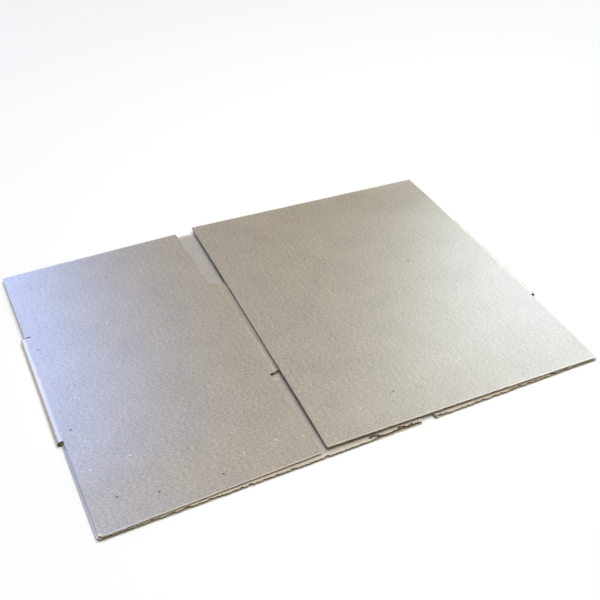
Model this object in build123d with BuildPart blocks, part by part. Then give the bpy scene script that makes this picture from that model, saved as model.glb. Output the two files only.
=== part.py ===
"""A regular slotted carton of single-wall corrugated board, folded flat as it leaves the gluer.

One sheet goes once round. A length panel and a width panel lie underneath, the sheet turns back
on itself at the left and right folds, and its two ends meet on top at the glued joint.
X runs along the long side, Y along the flutes and Z is up. The plies are drawn from the middle
of the lower one, and the folded sheet is then centred over the surface that it lies on.
"""

import os
from math import asin, atan2, degrees

from build123d import *

# The box when it is set up, measured inside
inside_length = 300.0
inside_width = 200.0
inside_height = 150.0

# What the creases add to each panel
length_allowance = 4.0
width_allowance = 2.0
height_allowance = 6.0

# Board: two flat liners with a fluted sheet, the medium, between them
board = 3.0
liner = 0.4
medium = 0.35
flute_pitch = 6.5
flute_crest = 1.0
flute_web = 0.25
flute_margin = 1.5

# Slots between the flaps, and the creases that the flaps turn on
slot_width = 8.0
slot_overrun = 3.5
flap_corner = 1.0
crease_radius = 3.5
crease_depth = 0.6
crease_mark = 0.2
crease_crush = 5.0

# Glue tab: crushed thinner than the board, and pressed into the panel that it holds
tab_width = 34.0
tab_thickness = 2.35
tab_pressed_in = 0.15
tab_setback = 6.0
tab_taper = 10.0
joint_gap = 9.0

# How the upper plies lie: just clear of the lower one, and turned a little out of square
ply_gap = 0.4
width_ply_turn = 1.14
length_ply_turn = -1.17

# Rolled edges at the two folds
fold_reach = 1.0
fold_crush = 0.1
fold_lap = 3.0

# Panels between their creases
length_panel = inside_length + length_allowance
width_panel = inside_width + width_allowance
body_height = inside_height + height_allowance
flap_length = width_panel / 2

# The flat sheet
sheet_length = length_panel + width_panel
sheet_depth = body_height + 2 * flap_length
left_fold = -sheet_length / 2
right_fold = sheet_length / 2
lower_crease = left_fold + length_panel
upper_length_panel = length_panel - joint_gap
slot_length = flap_length + slot_overrun
half_slot = slot_width / 2
upper_level = board + ply_gap
joint_rise = tab_thickness - tab_pressed_in
length_ply_tilt = degrees(asin(joint_rise / upper_length_panel))

# The folds
fold_height = sheet_depth - 2 * slot_length
fold_level = board + ply_gap / 2
fold_radius = fold_level - fold_crush
fold_inset = fold_radius - fold_reach

# One flute channel: wide at its liner and narrow under the crest
channel_foot = flute_pitch - flute_crest - 2 * flute_web
channel_height = board - 2 * liner - medium
channel_flank = degrees(atan2(channel_height, (channel_foot - flute_crest) / 2))
channel_length = flap_length - crease_crush
lower_channel_middle = liner + channel_height / 2
upper_channel_middle = board - lower_channel_middle


def trim_flaps(*creases):
    """Cuts a slot from the front and the back edge at each crease, and blunts the corners."""
    reach = (sheet_depth - slot_length) / 2
    with Locations(*[(x, side * reach) for x in creases for side in (-1, 1)]):
        Rectangle(slot_width, slot_length, mode=Mode.SUBTRACT)
    ends = vertices().group_by(Axis.Y)
    fillet(ends[0] + ends[-1], flap_corner)


def press_creases(start, end, inner_face, outer_face):
    """Presses the creases that the flaps turn on: deep inside, and only a mark outside."""
    inward = 1 if outer_face > inner_face else -1
    inner_middle = inner_face - inward * (crease_radius - crease_depth)
    outer_middle = outer_face + inward * (crease_radius - crease_mark)
    with BuildSketch(Plane.YZ.offset(start)) as grooves:
        with Locations((0, inner_middle), (0, outer_middle)):
            with GridLocations(body_height, 0, 2, 1):
                Circle(crease_radius)
    extrude(grooves.sketch, amount=end - start, mode=Mode.SUBTRACT)


def draw_flutes(start, end):
    """Draws the ends of the flute channels of a flap that runs from start to end."""
    count = int((end - start - 2 * flute_margin - channel_foot) / flute_pitch)
    middle = (start + end) / 2
    stagger = flute_pitch / 4
    with Locations((middle - stagger, lower_channel_middle)):
        with GridLocations(flute_pitch, 0, count, 1):
            Trapezoid(channel_foot, channel_height, channel_flank)
    with Locations((middle + stagger, upper_channel_middle)):
        with GridLocations(flute_pitch, 0, count, 1):
            Trapezoid(channel_foot, channel_height, channel_flank, rotation=180)


def open_flutes(ply, *flaps):
    """Opens the flutes at the front and back edges of a ply, as far as the crushed creases."""
    for side in (-1, 1):
        edge = ply * Plane.XZ.offset(-side * sheet_depth / 2).location
        with BuildSketch(Plane(edge)) as channels:
            for start, end in flaps:
                draw_flutes(start, end)
        extrude(channels.sketch, amount=side * channel_length, clean=False, mode=Mode.SUBTRACT)


# Lower ply: a length panel on the left and a width panel on the right, outside face down
with BuildPart() as lower_ply:
    with BuildSketch():
        Rectangle(sheet_length - 2 * fold_radius, sheet_depth)
        trim_flaps(left_fold, lower_crease, right_fold)
    extrude(amount=board)
    press_creases(left_fold, right_fold, inner_face=board, outer_face=0)
    with BuildSketch(Plane.XZ.offset(-fold_height / 2)):
        with Locations(
            (lower_crease, board + crease_radius - crease_depth),
            (lower_crease, crease_mark - crease_radius),
        ):
            Circle(crease_radius)
    extrude(amount=fold_height, mode=Mode.SUBTRACT)

# Upper width ply, drawn from its fold at the left, with the glue tab beyond its far crease
with BuildPart() as width_ply:
    with BuildSketch():
        with Locations((fold_radius, 0)):
            Rectangle(width_panel - fold_radius, sheet_depth, align=(Align.MIN, Align.CENTER))
        trim_flaps(0, width_panel)
    extrude(amount=board)
    press_creases(0, width_panel, inner_face=0, outer_face=board)
    with BuildSketch():
        with BuildLine():
            tab_root = fold_height / 2
            tab_tip = body_height / 2 - tab_setback - tab_taper
            tab_end = width_panel + tab_width
            Polyline(
                (width_panel, -tab_root),
                (tab_end, -tab_tip),
                (tab_end, tab_tip),
                (width_panel, tab_root),
                close=True,
            )
        make_face()
    extrude(amount=tab_thickness)

# Upper length ply, drawn from its fold at the right, with a straight cut edge at the joint
with BuildPart() as length_ply:
    with BuildSketch():
        with Locations((-fold_radius, 0)):
            reach = upper_length_panel - fold_radius
            Rectangle(reach, sheet_depth, align=(Align.MAX, Align.CENTER))
        trim_flaps(0)
    extrude(amount=board)
    press_creases(-upper_length_panel, 0, inner_face=0, outer_face=board)

# The sheet rolled over at a fold, from slot to slot, round the middle of the two plies
with BuildPart() as fold:
    with BuildSketch(Plane.XZ.offset(-fold_height / 2)):
        Circle(fold_radius)
        Rectangle(fold_lap, 2 * fold_radius, align=(Align.MIN, Align.CENTER))
    extrude(amount=fold_height)

# The folded sheet: each upper ply turns about the middle of its fold, and the fold takes half
# of that turn. The length ply rests on the glue tab, so it slopes down to its own fold.
width_place = Location((left_fold, 0, upper_level), (0, 0, width_ply_turn))
length_place = Location((right_fold, 0, upper_level), (0, length_ply_tilt, length_ply_turn))
with BuildPart() as folded_sheet:
    add(lower_ply.part)
    with Locations(width_place):
        add(width_ply.part)
    with Locations(length_place):
        add(length_ply.part)
    with Locations(
        Location((left_fold + fold_inset, 0, fold_level), (0, 0, width_ply_turn / 2)),
        Location((right_fold - fold_inset, 0, fold_level), (0, 0, 180 + length_ply_turn / 2)),
    ):
        add(fold.part)

# Centred over the surface that it lies on, with the flutes open at every flap's cut edge
middle = folded_sheet.part.bounding_box().center()
centred = Location((-middle.X, -middle.Y, 0))
with BuildPart() as flattened_box:
    with Locations(centred):
        add(folded_sheet.part)
    open_flutes(
        centred,
        (left_fold + half_slot, lower_crease - half_slot),
        (lower_crease + half_slot, right_fold - half_slot),
    )
    open_flutes(centred * width_place, (half_slot, width_panel - half_slot))
    open_flutes(centred * length_place, (-upper_length_panel, -half_slot))

os.makedirs("parts", exist_ok=True)
flattened_box.part.label = "flattened_box"
export_step(flattened_box.part, "parts/flattened_box.step")
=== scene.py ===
"""Looks of the flattened cardboard box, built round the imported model.

The box is made as the real one is: three layers of paper, an outer liner, a fluted medium and
an inner liner, each cut to the shape of the blank and folded with it. A point of the blank has
a place u along the sheet, from the glue tab to the joint, a place v along the flutes, from the
front edge to the back edge, and a height h from the middle of the folded pair of plies.
Lengths are in metres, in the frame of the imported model.
"""

import math

import bpy
import numpy as np
from mathutils import Matrix, Vector


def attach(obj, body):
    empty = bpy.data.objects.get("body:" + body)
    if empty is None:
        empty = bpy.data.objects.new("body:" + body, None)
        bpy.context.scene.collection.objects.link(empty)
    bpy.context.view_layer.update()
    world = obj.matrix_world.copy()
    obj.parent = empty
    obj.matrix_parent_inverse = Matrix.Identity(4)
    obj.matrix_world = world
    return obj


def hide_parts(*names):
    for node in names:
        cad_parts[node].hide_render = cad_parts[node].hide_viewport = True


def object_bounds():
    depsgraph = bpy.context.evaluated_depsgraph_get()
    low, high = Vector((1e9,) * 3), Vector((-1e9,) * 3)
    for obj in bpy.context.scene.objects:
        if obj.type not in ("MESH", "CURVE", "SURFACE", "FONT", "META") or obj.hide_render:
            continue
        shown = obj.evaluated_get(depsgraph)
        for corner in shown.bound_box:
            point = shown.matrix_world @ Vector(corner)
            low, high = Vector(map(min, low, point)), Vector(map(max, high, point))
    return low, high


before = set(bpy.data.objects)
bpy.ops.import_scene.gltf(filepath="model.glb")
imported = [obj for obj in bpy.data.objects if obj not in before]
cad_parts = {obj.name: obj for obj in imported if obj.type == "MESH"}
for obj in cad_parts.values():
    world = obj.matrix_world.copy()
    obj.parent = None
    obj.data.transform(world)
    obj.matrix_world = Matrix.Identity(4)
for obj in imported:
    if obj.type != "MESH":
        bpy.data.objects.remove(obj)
cad_low, cad_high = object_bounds()

MM = 0.001
NODE = "flattened_box"

# The blank
BOARD = 3.0 * MM
PLY_GAP = 0.4 * MM
WIDTH_PANEL = 202.0 * MM
LENGTH_PANEL = 304.0 * MM
BODY_HEIGHT = 156.0 * MM
JOINT_GAP = 9.0 * MM
FLAP_LENGTH = WIDTH_PANEL / 2
DEPTH = BODY_HEIGHT + 2 * FLAP_LENGTH

# The glue tab: its width at the tip as a share of its width at the root, the step down to its
# thickness, and how far it lifts the panel on top of it
TAB_WIDTH = 34.0 * MM
TAB_TIP_SHARE = 0.83
TAB_THICKNESS = 2.1 * MM
TAB_STEP = 5.0 * MM
TAB_RISE = 2.2 * MM

# The slots. Those of the left fold are cut longer, with a nick beside the one at the back
SLOT_WIDTH = 8.0 * MM
SLOT_OVERRUN = 3.5 * MM
SLOT_END = FLAP_LENGTH + SLOT_OVERRUN
HALF_SLOT = SLOT_WIDTH / 2
LEFT_OVERRUN = 2.4 * MM
NICK_LENGTH = 6.0 * MM
NICK_WIDTH = 1.2 * MM

# The paper: the thickness of its layers, the flutes, and how deep the liner sinks between them
LINER = 0.32 * MM
MEDIUM = 0.4 * MM
FLUTE_PITCH = 6.5 * MM
WASHBOARD = 0.02 * MM

# The creases: half their width, and how deep they are inside and outside
FLAP_CREASE = 3.2 * MM
UPRIGHT_CREASE = 2.6 * MM
CREASE_DEPTH = 0.6 * MM
CREASE_MARK = 0.06 * MM

# The folds: how far from its end the sheet starts to roll over, how much it is crushed there,
# how many steps the roll takes, and how far each upper ply turns out of square
FOLD_INSET = 2.1 * MM
FOLD_CRUSH = 0.1 * MM
FOLD_STEPS = 20
WIDTH_PLY_TURN = math.radians(1.14)
LENGTH_PLY_TURN = math.radians(-1.17)

# Where the panels begin and end along the blank. The lower crease lies in the lower ply
TAB_CREASE = 0.0
LEFT_FOLD = WIDTH_PANEL
LOWER_CREASE = LEFT_FOLD + LENGTH_PANEL
RIGHT_FOLD = LOWER_CREASE + WIDTH_PANEL
CUT_EDGE = RIGHT_FOLD + LENGTH_PANEL - JOINT_GAP
CREASES = (TAB_CREASE, LEFT_FOLD, LOWER_CREASE, RIGHT_FOLD)

# The same places in the frame
FOLD_LEVEL = BOARD + PLY_GAP / 2
MIDDLE_X = (cad_low.x + cad_high.x) / 2
LEFT_X = MIDDLE_X - (WIDTH_PANEL + LENGTH_PANEL) / 2
RIGHT_X = MIDDLE_X + (WIDTH_PANEL + LENGTH_PANEL) / 2
MIDDLE_Y = cad_low.y + DEPTH / 2

# Flaps crushed thinner towards their cut edges: how far in, and by how much
CRUSH_REACH = 60.0 * MM
UPPER_CRUSH = 1.5 * MM
LOWER_CRUSH = 0.4 * MM
INNER_CRUSH = 0.15 * MM

# Flap corners worn round, most at the battered front left one: in front on the upper ply, in
# front on the lower ply, and behind
CORNER = 1.2 * MM
JOINT_CORNER = 1.0 * MM
BATTERED_CORNER = (4.2 * MM, 3.4 * MM, 1.5 * MM)

# Front flaps of the lower ply bent aside where their slots are torn open
LEFT_SPLAY = 1.6 * MM
LOWER_SPLAY = 6.0 * MM
SPLAY_REACH = 40.0 * MM
SPLAY_FADE = 36.0 * MM

# How the upper plies lie uneven: how far down, how far from the folds, and the size of the waves
UNEVENNESS = 0.15 * MM
UNEVEN_FROM = 30.0 * MM
UNEVEN_CELL = (90.0 * MM, 70.0 * MM)

# The cut edges: how far each layer wanders, in waves of a size and a share of the whole, how
# far the medium stands back, and how close the rows behind a ragged edge may come
OUTER_ROUGH = 0.4 * MM
INNER_ROUGH = 2.0 * MM
MEDIUM_ROUGH = 0.8 * MM
MEDIUM_RECESS = 1.2 * MM
ROUGH_WAVES = ((15.0 * MM, 0.5), (4.0 * MM, 0.4), (1.4 * MM, 0.5))
ROW_GAP = 0.4 * MM

# Where the inner liner has come away along the front edge of the lower ply, and how far
TORN_START = 457.0 * MM
TORN_END = 501.0 * MM
TORN_BACK = 1.3 * MM
TORN_ROUGH = 1.2 * MM

# Half the thickness of a torn scrap, and the steps that it curls in
SCRAP_HALF = 0.09 * MM
SCRAP_STEPS = 5

# How many fibres the tuft has and how many hang loose along the front, none near the left fold
TUFT_FIBRES = 44
LOOSE_FIBRES = 150
FIBRE_FREE = 8.0 * MM

# How far from the folds, and from the cut edges of each liner, the paper is painted pale: partly
# scuffing, partly painted sheen
FOLD_RIM = 5.0 * MM
OUTER_RIM = 2.0 * MM
INNER_RIM = 6.0 * MM

# What makes the paper vary from light to dark, and the height of its grain as relief
CLOUD_SHARE = 0.08
GRAIN_SHARE = 0.58
FIBRE_SHARE = 0.32
PAPER_RELIEF = 0.009 * MM

# Single flecks: u and v in mm of those that stand out, and a few more where none shows
DARK_FLECKS = (
    (188.9, 116.3),
    (174.3, 30.9),
    (141.9, 21.4),
    (88.2, 15.9),
    (918.1, 35.9),
    (190.4, 229.0),
    (803, 205),
)
PALE_FLECKS = (
    (956.0, 29.0),
    (33.8, 30.0),
    (9.7, 23.8),
    (186.1, 66.2),
    (64.1, 28.7),
    (151.7, 67.2),
    (860, 150),
    (120, 240),
)
DARK_FLECK_SIZE = 2.2 * MM
PALE_FLECK_SIZE = 1.7 * MM

# The floor: half its size, how far it lies below the box, and where it turns into white
FLOOR_REACH = 6.0
FLOOR_GAP = 0.05 * MM
WHITE_FROM = 0.7
WHITE_TO = 1.8

# The camera at the photograph's angle
CAMERA_PLACE = (-0.2823, -0.5811, 0.5533)
CAMERA_AZIMUTH = math.radians(26.93)
CAMERA_ELEVATION = math.radians(39.38)
CAMERA_ROLL = math.radians(1.84)
CAMERA_LENS = 49.79
CAMERA_SENSOR = 36.0


def drift(u, v, cell_u, cell_v, seed):
    """Smooth noise between -1 and 1 over the blank, with features about one cell across."""
    size = 64
    table = np.random.default_rng(seed).uniform(-1, 1, (size, size))
    a, b = np.asarray(u) / cell_u + 7, np.asarray(v) / cell_v + 7
    i, j = np.floor(a).astype(int), np.floor(b).astype(int)
    s, t = a - i, b - j
    s, t = s * s * (3 - 2 * s), t * t * (3 - 2 * t)
    corner = [table[(i + p) % size, (j + q) % size] for p in (0, 1) for q in (0, 1)]
    near = corner[0] * (1 - t) + corner[1] * t
    far = corner[2] * (1 - t) + corner[3] * t
    return near * (1 - s) + far * s


def bump(distance, width):
    """1 at no distance, falling smoothly to 0 at width."""
    x = np.clip(np.abs(distance) / width, 0, 1)
    return (1 - x * x) ** 2


def is_upper(u):
    """Whether a point is on the upper plies."""
    return (u < LEFT_FOLD) | (u > RIGHT_FOLD)


def upper_share(u):
    """How far a point has gone over onto the upper plies, at the left fold and at the right."""
    left = np.clip((LEFT_FOLD + FOLD_INSET - u) / (2 * FOLD_INSET), 0, 1)
    right = np.clip((u - RIGHT_FOLD + FOLD_INSET) / (2 * FOLD_INSET), 0, 1)
    return left, right


def turn(x, y, pivot_x, angle):
    """Turns points in the plane of the sheet about the middle of a fold."""
    dx, dy = x - pivot_x, y - MIDDLE_Y
    cos, sin = np.cos(angle), np.sin(angle)
    return pivot_x + cos * dx - sin * dy, MIDDLE_Y + sin * dx + cos * dy


def fold_sheet(u, v, h):
    """Carries points of the blank to their places on the folded sheet."""
    left, right = upper_share(u)
    v = taper_tab(u, soften_corners(u, v))
    u = splay_slots(u, v)

    # The outside faces down on the lower ply and up on the upper ones, and rolls over between
    roll = (left - 0.5) * math.pi * (left > 0) + (right - 0.5) * math.pi * (right > 0)
    roll = np.where((left <= 0) & (right <= 0), -math.pi / 2, roll)
    in_fold = ((left > 0) & (left < 1)) | ((right > 0) & (right < 1))
    h = h - FOLD_CRUSH * in_fold

    from_left = np.abs(u - LEFT_FOLD)
    from_right = np.abs(u - RIGHT_FOLD)
    x = np.where(u < LOWER_CREASE, LEFT_X + from_left, RIGHT_X - from_right)
    x = np.where(in_fold & (u < LOWER_CREASE), LEFT_X + FOLD_INSET - h * np.cos(roll), x)
    x = np.where(in_fold & (u > LOWER_CREASE), RIGHT_X - FOLD_INSET + h * np.cos(roll), x)
    z = FOLD_LEVEL + h * np.sin(roll)

    # The length ply rests on the glue tab, so it slopes down to its own fold
    run = np.clip(u - RIGHT_FOLD, 0, None) / (CUT_EDGE - RIGHT_FOLD)
    z = z + TAB_RISE * run - UNEVENNESS * np.maximum(left, right) * wave_of_ply(u, v)
    y = MIDDLE_Y - DEPTH / 2 + v
    x, y = turn(x, y, LEFT_X, WIDTH_PLY_TURN * left)
    x, y = turn(x, y, RIGHT_X, LENGTH_PLY_TURN * right)
    return x, y, z


def on_sheet(u, v, h):
    """The place of one point of the blank on the folded sheet."""
    return Vector([float(c) for c in fold_sheet(np.array(u), np.array(v), np.array(h))])


def taper_tab(u, v):
    """Draws the glue tab in towards its tip."""
    taper = np.clip(-u / TAB_WIDTH, 0, 1)
    return DEPTH / 2 + (v - DEPTH / 2) * (1 - (1 - TAB_TIP_SHARE) * taper)


def wave_of_ply(u, v):
    """A slight unevenness of the upper plies, none at the folds."""
    from_fold = np.minimum(np.abs(u - LEFT_FOLD), np.abs(u - RIGHT_FOLD))
    away = np.clip(from_fold / UNEVEN_FROM, 0, 1)
    return away * (0.5 + 0.5 * drift(u, v, *UNEVEN_CELL, 11))


def soften_corners(u, v):
    """Moves the cut edges in at the corners of the flaps."""
    corners = [(CUT_EDGE, -1, JOINT_CORNER, CORNER)]
    for crease in CREASES:
        worn = BATTERED_CORNER if crease == LEFT_FOLD else (CORNER, CORNER, CORNER)
        before, after, back = worn
        corners.append((crease - HALF_SLOT, -1, before, back))
        corners.append((crease + HALF_SLOT, 1, after, back))
    for place, inward, front, back in corners:
        along = (u - place) * inward
        for radius, from_edge, sign in ((front, v, 1), (back, DEPTH - v, -1)):
            short = np.clip(radius - along, 0, radius) * (along > -1e-6)
            cut = radius - np.sqrt(radius**2 - short**2)
            v = v + sign * cut * np.clip(1 - from_edge / (4 * radius), 0, 1)
    return v


def splay_slots(u, v):
    """Bends two front flaps of the lower ply aside, along with the edges of their slots."""
    for crease, aside in ((LEFT_FOLD, LEFT_SPLAY), (LOWER_CREASE, LOWER_SPLAY)):
        beside = np.clip((crease + SPLAY_REACH - u) / SPLAY_FADE, 0, 1) * (u > crease)
        u = u + aside * beside * np.clip(1 - v / SLOT_END, 0, 1)
    return u


def pressed(u, v):
    """How hard the board is creased, from 0 to 1, across the flaps and up the body."""
    across = bump(v - FLAP_LENGTH, FLAP_CREASE) + bump(DEPTH - FLAP_LENGTH - v, FLAP_CREASE)
    upright = bump(u - LOWER_CREASE, UPRIGHT_CREASE) + bump(u - TAB_CREASE, UPRIGHT_CREASE)
    body = (v > SLOT_END) & (v < DEPTH - SLOT_END)
    return np.clip(across + upright * body, 0, 1)


def crushed_edge(v):
    """How far the knives and rough handling have crushed the cut edges, from 0 to 1."""
    return bump(v, CRUSH_REACH) + bump(DEPTH - v, CRUSH_REACH)


def flute_wave(u):
    """The flutes along the blank, from -1 to 1."""
    return np.cos(2 * math.pi * u / FLUTE_PITCH)


def outer_face(u, v):
    """Height of the outside face of the board."""
    full = PLY_GAP / 2 + BOARD - CREASE_MARK * pressed(u, v)
    full = full - np.where(is_upper(u), UPPER_CRUSH, LOWER_CRUSH) * crushed_edge(v)
    tab = np.clip(-u / TAB_STEP, 0, 1)
    full = full * (1 - tab) + (PLY_GAP / 2 + TAB_THICKNESS) * tab
    return full - WASHBOARD * (0.5 + 0.5 * flute_wave(u)) * (1 - tab)


def inner_face(u, v):
    """Height of the inside face of the board. The tab has no crease of its own."""
    crease = CREASE_DEPTH * pressed(u, v) * (u > TAB_CREASE - 2 * MM)
    edge = np.where(is_upper(u), -INNER_CRUSH, INNER_CRUSH) * crushed_edge(v)
    return PLY_GAP / 2 + crease + edge


def medium_middle(u, v):
    """Height of the middle of the fluted medium, which swings between the liners."""
    top = outer_face(u, v) - LINER - MEDIUM / 2
    bottom = inner_face(u, v) + LINER + MEDIUM / 2
    return (top + bottom) / 2 - (top - bottom) / 2 * flute_wave(u)


def columns(step, recess):
    """Places along the blank, with one at every slot edge and more round the folds."""
    half = HALF_SLOT + recess
    stops = [-TAB_WIDTH, TAB_CREASE - TAB_STEP, TAB_CREASE]
    for crease in CREASES:
        near = [half + d * MM for d in (0, 0.4, 1.0, 2.0, 3.4)]
        stops += [crease + d for d in near] + [crease - d for d in near]
        if crease in (LEFT_FOLD, RIGHT_FOLD):
            stops += [crease - FOLD_INSET, crease + FOLD_INSET]
    # At the joint a recessed layer stands back three times as far as elsewhere
    last = CUT_EDGE - 3 * recess
    stops = sorted(set(stops + [LEFT_FOLD - half - NICK_LENGTH, last - MM, last]))
    stops = [stop for stop in stops if stop <= last]
    found = [np.array([stops[0]])]
    for start, end in zip(stops, stops[1:]):
        middle = (start + end) / 2
        at_fold = min(abs(middle - LEFT_FOLD), abs(middle - RIGHT_FOLD)) < MM
        count = FOLD_STEPS if at_fold else max(1, math.ceil((end - start) / step))
        found.append(np.linspace(start, end, count + 1)[1:])
    return np.concatenate(found)


def rows(flap, body):
    """Places along the flutes: flap gives those from the edge, in mm, body how many between."""
    crease = [FLAP_LENGTH + d * MM for d in (-3.2, -2.2, -1.2, 0, 1.2, 2.2)]
    front = np.array([d * MM for d in flap] + crease + [SLOT_END])
    middle = np.linspace(SLOT_END, DEPTH - SLOT_END, body + 2)[1:-1]
    deep = SLOT_END + LEFT_OVERRUN
    cuts = [deep, DEPTH - deep, DEPTH - deep - NICK_WIDTH]
    return np.sort(np.concatenate([front, middle, DEPTH - front, cuts]))


def is_board(u, v, recess):
    """Whether the blank has board there, or a slot or nothing."""
    half = HALF_SLOT + recess
    body = (v > SLOT_END) & (v < DEPTH - SLOT_END)
    slot = u < TAB_CREASE
    for crease in CREASES:
        slot = slot | (np.abs(u - crease) < half)
    deep = SLOT_END + LEFT_OVERRUN
    from_slot = LEFT_FOLD - half - u
    overrun = (np.abs(u - LEFT_FOLD) < half) & ((v < deep) | (v > DEPTH - deep))
    nick = (from_slot > 0) & (from_slot < NICK_LENGTH)
    nick = nick & (v > DEPTH - deep - NICK_WIDTH) & (v < DEPTH - deep)
    return (body | ~slot) & ~overrun & ~nick


def ragged(u, rough, seed):
    """How far a cut edge stands back along its length."""
    waves = enumerate(ROUGH_WAVES)
    total = sum(share * drift(u, 0 * u, cell, MM, seed + k) for k, (cell, share) in waves)
    return rough * np.abs(total)


def cut_rows(us, v, rough, recess, torn, seed):
    """Cuts the front and back edges of a layer, and keeps the rows behind them in order."""
    cut = v.copy()
    in_tear = (us > TORN_START) & (us < TORN_END) & torn
    tear = in_tear * (TORN_BACK + ragged(us, TORN_ROUGH, seed))
    cut[:, 0] += recess + ragged(us, rough, seed) + tear
    cut[:, -1] -= recess + ragged(us, rough, seed + 2)
    for k in range(1, 5):
        cut[:, k] = np.maximum(cut[:, k], cut[:, k - 1] + ROW_GAP)
        cut[:, -1 - k] = np.minimum(cut[:, -1 - k], cut[:, -k] - ROW_GAP)
    return cut


def layer_faces(keep):
    """Closes the kept cells of a grid into faces: the top, the underside and the rims between.

    The points of the underside are numbered first, and those of the top in the same order.
    """
    n, m = keep.shape[0] + 1, keep.shape[1] + 1
    index = np.arange(n * m).reshape(n, m)
    a, b = index[:-1, :-1], index[1:, :-1]
    c, d = index[1:, 1:], index[:-1, 1:]
    top = n * m
    faces = [np.stack([q[keep] + top for q in (a, b, c, d)], 1)]
    faces.append(np.stack([q[keep] for q in (d, c, b, a)], 1))

    padded = np.pad(keep, 1)
    edges = (
        (padded[1:-1, :-2], a, b),
        (padded[1:-1, 2:], c, d),
        (padded[:-2, 1:-1], d, a),
        (padded[2:, 1:-1], b, c),
    )
    for beside, start, end in edges:
        rim = keep & ~beside
        s, e = start[rim], end[rim]
        faces.append(np.stack([e + top, s + top, s, e], 1))
    return np.concatenate(faces)


def make_layer(name, step, vs, low_face, high_face, rough, seed, recess=0.0, torn=False):
    """Makes one layer of paper as a closed mesh between two heights over the blank."""
    us = columns(step, recess)
    u, v = np.meshgrid(us, vs, indexing="ij")
    keep = is_board((u[1:, 1:] + u[:-1, 1:]) / 2, (v[1:, 1:] + v[1:, :-1]) / 2, recess)
    faces = layer_faces(keep)

    cut = cut_rows(us, v, rough, recess, torn, seed)
    folded = [np.stack(fold_sheet(u, cut, face(u, v)), -1) for face in (low_face, high_face)]
    points = np.concatenate([grid.reshape(-1, 3) for grid in folded])

    used = np.unique(faces)
    renumber = np.full(len(points), -1)
    renumber[used] = np.arange(len(used))
    faces = renumber[faces]
    mesh = bpy.data.meshes.new(name)
    mesh.vertices.add(len(used))
    mesh.vertices.foreach_set("co", points[used].ravel())
    mesh.loops.add(faces.size)
    mesh.loops.foreach_set("vertex_index", faces.ravel().astype(np.int32))
    mesh.polygons.add(len(faces))
    mesh.polygons.foreach_set("loop_start", np.arange(0, faces.size, 4, dtype=np.int32))
    mesh.update(calc_edges=True)
    mesh.validate()

    flat = np.stack([np.tile(u.ravel(), 2), np.tile(v.ravel(), 2)], 1)[used]
    layer = mesh.uv_layers.new(name="blank")
    layer.uv.foreach_set("vector", flat[faces.ravel()].astype(np.float32).ravel())
    mesh.shade_smooth()
    mesh.set_sharp_from_angle(angle=math.radians(50))
    piece = bpy.data.objects.new(name, mesh)
    bpy.context.scene.collection.objects.link(piece)
    return piece


def make_board():
    """Makes the two liners and the medium."""
    liner_rows = rows((0, 0.8, 2.5, 7, 16, 26, 38, 50, 62, 78, 92), 9)
    medium_rows = rows((0, 3, 20, 60, 92), 3)
    outer = make_layer(
        "outer_liner",
        FLUTE_PITCH / 5,
        liner_rows,
        low_face=lambda u, v: outer_face(u, v) - LINER,
        high_face=outer_face,
        rough=OUTER_ROUGH,
        seed=21,
    )
    inner = make_layer(
        "inner_liner",
        FLUTE_PITCH / 5,
        liner_rows,
        low_face=inner_face,
        high_face=lambda u, v: inner_face(u, v) + LINER,
        rough=INNER_ROUGH,
        seed=31,
        torn=True,
    )
    medium = make_layer(
        "fluted_medium",
        FLUTE_PITCH / 10,
        medium_rows,
        low_face=lambda u, v: medium_middle(u, v) - MEDIUM / 2,
        high_face=lambda u, v: medium_middle(u, v) + MEDIUM / 2,
        rough=MEDIUM_ROUGH,
        seed=41,
        recess=MEDIUM_RECESS,
    )
    return outer, inner, medium


class Scraps:
    """Thin scraps of paper, gathered into one piece."""

    def __init__(self):
        self.points = []
        self.faces = []

    def add(self, root, along, across, length, width, curl=0.0):
        """Adds a scrap that starts at root, narrows, and curls up or down as it goes."""
        along, across = Vector(along).normalized(), Vector(across).normalized()
        first = len(self.points)
        place, heading = Vector(root), along
        for k in range(SCRAP_STEPS + 1):
            up = across.cross(heading).normalized() * SCRAP_HALF
            half = across * width / 2 * (1 - 0.5 * (k / SCRAP_STEPS) ** 2)
            below, above = place - up, place + up
            self.points += [below - half, below + half, above + half, above - half]
            place = place + heading * length / SCRAP_STEPS
            heading = Matrix.Rotation(curl / SCRAP_STEPS, 3, across) @ heading
        for k in range(SCRAP_STEPS):
            a = first + 4 * k
            for q, r in ((0, 1), (1, 2), (2, 3), (3, 0)):
                self.faces.append([a + q, a + r, a + 4 + r, a + 4 + q])
        last = first + 4 * SCRAP_STEPS
        self.faces.append([first + q for q in (3, 2, 1, 0)])
        self.faces.append([last + q for q in (0, 1, 2, 3)])

    def piece(self, name):
        """Makes the piece, with places on it for the look of its paper."""
        mesh = bpy.data.meshes.new(name)
        mesh.from_pydata(self.points, [], self.faces)
        layer = mesh.uv_layers.new(name="blank").data
        for loop in mesh.loops:
            point = self.points[loop.vertex_index]
            layer[loop.index].uv = (point.x + point.z, point.y)
        piece = bpy.data.objects.new(name, mesh)
        bpy.context.scene.collection.objects.link(piece)
        return piece


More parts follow.
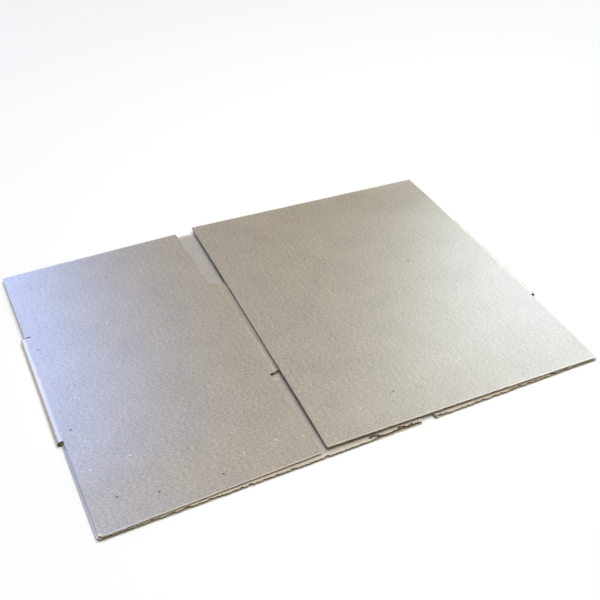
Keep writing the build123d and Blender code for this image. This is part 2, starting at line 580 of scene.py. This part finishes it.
def add_torn_corners(scraps):
    """Small flaps of liner torn loose: at the lower crease in front, and at the left fold."""
    inside = PLY_GAP / 2
    notch = LOWER_CREASE - HALF_SLOT
    torn_side = LOWER_CREASE + HALF_SLOT
    slot_back = DEPTH - SLOT_END
    # u, v and h of the root, the way it points, its length and width in mm, and its curl
    for u, v, h, along, length, width, curl in (
        (notch - 2.0 * MM, 2.4 * MM, inside, (1, -0.05, 0.25), 3.2, 3.0, -0.6),
        (notch - 3.5 * MM, 1.6 * MM, inside, (1, 0.1, 0.3), 3.0, 1.8, 0.8),
        (torn_side + 3.0 * MM, 3.4 * MM, inside, (-0.5, -0.6, 0.25), 4.0, 3.0, 1.0),
        (LEFT_FOLD - 4.0 * MM, slot_back - 3.5 * MM, BOARD, (-1, 0.25, 0.35), 3.2, 1.6, 0.8),
        (LEFT_FOLD - 6.2 * MM, 2.6 * MM, BOARD - 1.1 * MM, (-0.75, -0.6, 0.1), 3.4, 3.0, 0.9),
        (LEFT_FOLD - 8.0 * MM, 1.0 * MM, BOARD - 1.2 * MM, (0.2, -0.6, 0.2), 1.6, 1.8, 1.1),
    ):
        side = Vector(along).cross((0, 0, 1))
        scraps.add(on_sheet(u, v, h), along, side, length * MM, width * MM, curl)


def add_tuft(scraps, rng):
    """The tuft of fibres at the end of the strip where the liner has come away."""
    for _ in range(TUFT_FIBRES):
        u = rng.uniform(TORN_START - 8 * MM, TORN_START + MM)
        root = on_sheet(u, 2.5 * MM, PLY_GAP / 2)
        root.y += rng.uniform(-0.2, 1.8) * MM
        root.z += rng.uniform(0.0, 1.1) * MM
        along = (rng.normal(0, 1), -abs(rng.normal(0, 0.5)), rng.uniform(-0.1, 0.6))
        side = Vector(along).cross(rng.normal(0, 1, 3))
        length, width = rng.uniform(1.0, 2.4), rng.uniform(0.2, 0.6)
        scraps.add(root, along, side, length * MM, width * MM, rng.normal(0, 1.2))


def add_fibres(scraps, rng):
    """Loose fibres along the front edges of both plies."""
    for _ in range(LOOSE_FIBRES):
        if rng.random() < 0.5:
            u = rng.uniform(RIGHT_FOLD + FIBRE_FREE, CUT_EDGE)
        else:
            u = rng.uniform(10 * MM, 500 * MM)
        if abs(u - LEFT_FOLD) < FIBRE_FREE:
            continue
        face = outer_face(u, 0.0) if is_upper(u) else inner_face(u, 0.0)
        root = on_sheet(u, 1.8 * MM, float(face) - rng.uniform(0, 0.5) * MM)
        along = (rng.normal(0, 1), -0.4, rng.normal(0, 0.25))
        side = Vector(along).cross((0, 0, 1))
        length, width = rng.uniform(0.8, 1.8), rng.uniform(0.1, 0.3)
        scraps.add(root, along, side, length * MM, width * MM, rng.normal(0, 0.8))


def make_scraps():
    """Makes the torn corners and loose fibres as one piece, and the tuft as another."""
    rng = np.random.default_rng(77)
    torn, tuft = Scraps(), Scraps()
    add_torn_corners(torn)
    add_tuft(tuft, rng)
    add_fibres(torn, rng)
    return torn.piece("torn_paper"), tuft.piece("tuft")


def make_specks(name, places, size):
    """Makes single flecks in the paper, each a scrap pressed flat into the face.

    The places are u and v in mm.
    """
    rng = np.random.default_rng(len(name))
    specks = Scraps()
    for u, v in places:
        root = on_sheet(u * MM, v * MM, float(outer_face(u * MM, v * MM)))
        along = Vector((*rng.normal(0, 1, 2), 0)).normalized()
        side = along.cross((0, 0, 1))
        specks.add(root - along * size / 2, along, side, size, size * 0.7)
    return specks.piece(name)


class Shader:
    """A node tree that is written as calls. Each call takes sockets or plain values."""

    def __init__(self, name, specular):
        self.material = bpy.data.materials.new(name)
        self.material.use_nodes = True
        self.tree = self.material.node_tree
        self.surface = self.tree.nodes["Principled BSDF"]
        self.surface.inputs["Specular IOR Level"].default_value = specular

    def connect(self, value, socket):
        """Links a socket, or sets a plain value."""
        if isinstance(value, bpy.types.NodeSocket):
            self.tree.links.new(value, socket)
        else:
            socket.default_value = value

    def node(self, kind, inputs=None, **settings):
        """Adds a node with its settings and inputs."""
        made = self.tree.nodes.new(kind)
        for key, value in settings.items():
            setattr(made, key, value)
        for key, value in (inputs or {}).items():
            self.connect(value, made.inputs[key])
        return made

    def math(self, operation, a, b=0.0, c=0.5, clamp=False):
        """One step of arithmetic."""
        inputs = {0: a, 1: b, 2: c}
        made = self.node("ShaderNodeMath", inputs, operation=operation, use_clamp=clamp)
        return made.outputs[0]

    def scaled(self, vector, scale):
        """Texture coordinates times scale."""
        return self.node("ShaderNodeMapping", {"Vector": vector, "Scale": scale}).outputs[0]

    def noise(self, vector, scale, detail, roughness=0.55):
        """Cloudy noise, from about 0.3 to 0.7."""
        inputs = {"Vector": vector, "Scale": scale, "Detail": detail, "Roughness": roughness}
        return self.node("ShaderNodeTexNoise", inputs).outputs[0]

    def spots(self, vector, scale):
        """How far each point is from the nearest of many scattered spots."""
        inputs = {"Vector": vector, "Scale": scale}
        return self.node("ShaderNodeTexVoronoi", inputs).outputs["Distance"]

    def ramp(self, value, *stops):
        """Turns a value into the greys at the stops, each a position and a shade."""
        made = self.node("ShaderNodeValToRGB", {"Fac": value})
        points = made.color_ramp.elements
        while len(points) < len(stops):
            points.new(0.5)
        for point, (place, shade) in zip(points, stops):
            point.position = place
            point.color = (shade, shade, shade, 1)
        return made.outputs[0]

    def mix(self, factor, a, b):
        """Mixes two colours, each a socket or its red, green and blue."""
        made = self.tree.nodes.new("ShaderNodeMix")
        made.data_type = "RGBA"
        for key, value in (("Factor", factor), ("A", a), ("B", b)):
            socket = next(s for s in made.inputs if s.name == key and s.enabled)
            self.connect((*value, 1) if isinstance(value, tuple) else value, socket)
        return next(s for s in made.outputs if s.enabled)

    def finish(self, colour, height, distance, roughness):
        """Gives the surface its colour, relief and roughness."""
        inputs = {"Height": height, "Distance": distance, "Strength": 1.0}
        relief = self.node("ShaderNodeBump", inputs).outputs[0]
        self.connect(colour, self.surface.inputs["Base Color"])
        self.connect(relief, self.surface.inputs["Normal"])
        self.connect(roughness, self.surface.inputs["Roughness"])
        return self.material


def times(colour, factor):
    """A colour made lighter or darker, no lighter than white."""
    return tuple(min(1.0, c * factor) for c in colour)


def paper(name, light, dark, gloss=0.7, specular=0.2, flute_shade=0.0, rim=0.0):
    """Recycled kraft paper: cloudy brown, short fibres, flecks, and painted shade where the
    liner dips between the flutes.

    It varies from light to dark. The flute shade argument sets how strong the painted shade is
    in the dips between the flutes, and rim how far from the cut edges the paper is painted pale,
    partly as scuffing and partly as painted sheen.
    """
    s = Shader(name, specular)
    uv = s.node("ShaderNodeUVMap", uv_map="blank").outputs[0]
    along, across, _ = s.node("ShaderNodeSeparateXYZ", {"Vector": uv}).outputs

    # Clouds, grain and fibres
    clouds = s.noise(uv, scale=28.0, detail=4.0, roughness=0.6)
    stretched = s.scaled(uv, (1.0, 1.4, 1.0))
    grain = s.noise(stretched, scale=900.0, detail=4.0, roughness=0.8)
    drawn_out = s.scaled(uv, (300.0, 950.0, 1.0))
    fibres = s.noise(drawn_out, scale=1.0, detail=2.0, roughness=0.6)
    tone = s.math("MULTIPLY", clouds, CLOUD_SHARE)
    tone = s.math("ADD", tone, s.math("MULTIPLY", grain, GRAIN_SHARE))
    tone = s.math("ADD", tone, s.math("MULTIPLY", fibres, FIBRE_SHARE))
    colour = s.mix(s.ramp(tone, (0.4, 0.0), (0.6, 1.0)), dark, light)

    # Painted shade in the dips of the liner between the flutes, as faint darker lines
    phase = s.math("MULTIPLY", along, 2 * math.pi / FLUTE_PITCH)
    flute = s.math("MULTIPLY_ADD", s.math("COSINE", phase), 0.5, 0.5)
    painted_flute_shade = s.math("MULTIPLY", flute, s.math("MULTIPLY", clouds, flute_shade))
    colour = s.mix(painted_flute_shade, colour, times(dark, 0.72))

    # Paper painted pale beside the folds and the cut edges: partly scuffing, partly painted
    # sheen
    if rim:
        from_left = s.math("ABSOLUTE", s.math("SUBTRACT", along, LEFT_FOLD))
        from_right = s.math("ABSOLUTE", s.math("SUBTRACT", along, RIGHT_FOLD))
        from_fold = s.math("DIVIDE", s.math("MINIMUM", from_left, from_right), FOLD_RIM)
        from_cut = s.math("MINIMUM", across, s.math("SUBTRACT", DEPTH, across))
        from_cut = s.math("DIVIDE", from_cut, rim)
        near = s.ramp(s.math("MINIMUM", from_fold, from_cut), (0.3, 0.7), (1.0, 0.0))
        # This pale mask is partly scuffing and partly painted sheen
        worn = s.math("MULTIPLY", near, s.math("ADD", clouds, 0.2), clamp=True)
        colour = s.mix(worn, colour, times(light, 1.35))

    # Flecks: dark ones where the rare noise lets them through, and small pale ones all over
    dark_fleck = s.ramp(s.spots(uv, scale=75.0), (0.0, 1.0), (0.04, 1.0), (0.055, 0.0))
    rare = s.ramp(s.noise(uv, scale=60.0, detail=0.0), (0.6, 0.0), (0.64, 1.0))
    colour = s.mix(s.math("MULTIPLY", dark_fleck, rare), colour, times(dark, 0.35))
    pale = s.spots(s.scaled(uv, (1.0, 1.7, 1.0)), scale=120.0)
    pale = s.math("MULTIPLY", s.ramp(pale, (0.0, 1.0), (0.06, 1.0), (0.09, 0.0)), 0.6)
    colour = s.mix(pale, colour, times(light, 1.5))

    height = s.math("ADD", s.math("MULTIPLY", grain, 0.6), s.math("MULTIPLY", fibres, 0.4))
    roughness = s.math("MULTIPLY_ADD", grain, 0.06, gloss)
    return s.finish(colour, height, PAPER_RELIEF, roughness)


def aim_camera():
    """Sets the camera at the photograph's angle."""
    azimuth, elevation, roll = CAMERA_AZIMUTH, CAMERA_ELEVATION, CAMERA_ROLL
    forward = Vector(
        (
            math.sin(azimuth) * math.cos(elevation),
            math.cos(azimuth) * math.cos(elevation),
            -math.sin(elevation),
        )
    )
    level = Vector((math.cos(azimuth), -math.sin(azimuth), 0))
    upright = level.cross(forward)
    right = level * math.cos(roll) + upright * math.sin(roll)
    up = upright * math.cos(roll) - level * math.sin(roll)
    data = bpy.data.cameras.new("camera")
    data.lens = CAMERA_LENS
    data.sensor_width = CAMERA_SENSOR
    data.clip_start = 0.01
    camera = bpy.data.objects.new("camera", data)
    turned = Matrix((right, up, -forward)).transposed().to_4x4()
    camera.matrix_world = Matrix.Translation(CAMERA_PLACE) @ turned
    bpy.context.scene.collection.objects.link(camera)
    bpy.context.scene.camera = camera


def area_light(name, place, target, size, power, colour=(1, 1, 1), sheen=False):
    """A soft square lamp. One made for sheen only shows in what reflects it."""
    data = bpy.data.lights.new(name, "AREA")
    data.shape = "RECTANGLE"
    data.size = data.size_y = size
    data.energy = power
    data.color = colour
    lamp = bpy.data.objects.new(name, data)
    lamp.location = place
    aim = Vector(target) - Vector(place)
    lamp.rotation_euler = aim.to_track_quat("-Z", "Y").to_euler()
    lamp.visible_diffuse = not sheen
    bpy.context.scene.collection.objects.link(lamp)


def light_scene():
    """A soft overhead light, two large soft ones behind the sheet, and a white background."""
    area_light("overhead", place=(0.35, -0.1, 2.8), target=(0, 0, 0), size=2.2, power=80.0)
    area_light(
        "window_right",
        place=(1.78, 1.0, 1.3),
        target=(0.2, 0, 0),
        size=1.3,
        power=53.0,
        colour=(0.74, 0.88, 1.0),
        sheen=True,
    )
    area_light(
        "window_left",
        place=(-0.74, 1.58, 1.27),
        target=(-0.25, 0, 0),
        size=1.5,
        power=96.0,
        colour=(0.28, 0.45, 1.0),
        sheen=True,
    )
    world = bpy.data.worlds.new("studio")
    world.use_nodes = True
    bpy.context.scene.world = world
    nodes, links = world.node_tree.nodes, world.node_tree.links
    soft = nodes["Background"]
    soft.inputs["Color"].default_value = (0.95, 0.97, 1.0, 1)
    soft.inputs["Strength"].default_value = 0.22
    white = nodes.new("ShaderNodeBackground")
    white.inputs["Color"].default_value = (1, 1, 1, 1)
    path = nodes.new("ShaderNodeLightPath")
    mixed = nodes.new("ShaderNodeMixShader")
    links.new(path.outputs["Is Camera Ray"], mixed.inputs[0])
    links.new(soft.outputs[0], mixed.inputs[1])
    links.new(white.outputs[0], mixed.inputs[2])
    links.new(mixed.outputs[0], nodes["World Output"].inputs["Surface"])


def lay_floor():
    """A plain pale floor under the sheet, which turns into the white background far away."""
    mesh = bpy.data.meshes.new("floor")
    level = cad_low.z - FLOOR_GAP
    corners = ((-1, -1), (1, -1), (1, 1), (-1, 1))
    points = [(x * FLOOR_REACH, y * FLOOR_REACH, level) for x, y in corners]
    mesh.from_pydata(points, [], [(0, 1, 2, 3)])
    floor = bpy.data.objects.new("floor", mesh)
    bpy.context.scene.collection.objects.link(floor)
    s = Shader("floor", specular=0.1)
    s.surface.inputs["Base Color"].default_value = (0.97, 0.97, 0.965, 1)
    s.surface.inputs["Roughness"].default_value = 0.9
    place = s.node("ShaderNodeTexCoord").outputs["Object"]
    distance = s.node("ShaderNodeVectorMath", {0: place}, operation="LENGTH").outputs["Value"]
    span = {"Value": distance, "From Min": WHITE_FROM, "From Max": WHITE_TO}
    far = s.node("ShaderNodeMapRange", span, interpolation_type="SMOOTHSTEP").outputs[0]
    seen = s.node("ShaderNodeLightPath").outputs["Is Camera Ray"]
    white = s.node("ShaderNodeEmission").outputs[0]
    shades = {0: s.math("MULTIPLY", far, seen), 1: s.surface.outputs[0], 2: white}
    mixed = s.node("ShaderNodeMixShader", shades).outputs[0]
    s.connect(mixed, s.tree.nodes["Material Output"].inputs["Surface"])
    mesh.materials.append(s.material)


kraft_outside = paper(
    "kraft_outside",
    light=(0.535, 0.452, 0.312),
    dark=(0.2, 0.163, 0.108),
    gloss=0.33,
    specular=0.8,
    flute_shade=0.1,
    rim=OUTER_RIM,
)
# The inside liner is lighter than the outside: partly its own paler paper, partly painted sheen
# on the strip that shows in front of the upper ply
kraft_inside = paper(
    "kraft_inside",
    light=(0.57, 0.5, 0.385),
    dark=(0.28, 0.245, 0.185),
    gloss=0.33,
    specular=0.8,
    flute_shade=0.05,
    rim=INNER_RIM,
)
# The medium is darker than the liners: partly its own colour, partly painted shade in the cut
# edges and open flutes
kraft_medium_painted_shade = paper("kraft_medium_painted_shade", light=(0.21, 0.175, 0.13), dark=(0.09, 0.074, 0.054))
torn_fibre = paper("torn_fibre", light=(0.85, 0.81, 0.73), dark=(0.55, 0.49, 0.4))
bark = paper("bark", light=(0.06, 0.045, 0.03), dark=(0.03, 0.02, 0.015))
bleached_fibre = paper("bleached_fibre", light=(0.82, 0.78, 0.7), dark=(0.7, 0.65, 0.55))

outer, inner, medium = make_board()
scraps, tuft = make_scraps()
dark_specks = make_specks("dark_specks", DARK_FLECKS, DARK_FLECK_SIZE)
pale_specks = make_specks("pale_specks", PALE_FLECKS, PALE_FLECK_SIZE)
for piece, material in (
    (outer, kraft_outside),
    (inner, kraft_inside),
    (medium, kraft_medium_painted_shade),
    (scraps, torn_fibre),
    (tuft, kraft_medium_painted_shade),
    (dark_specks, bark),
    (pale_specks, bleached_fibre),
):
    piece.data.materials.append(material)
    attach(piece, "root")
    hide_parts(NODE)

aim_camera()
light_scene()
lay_floor()
bpy.context.scene.view_settings.view_transform = "Standard"
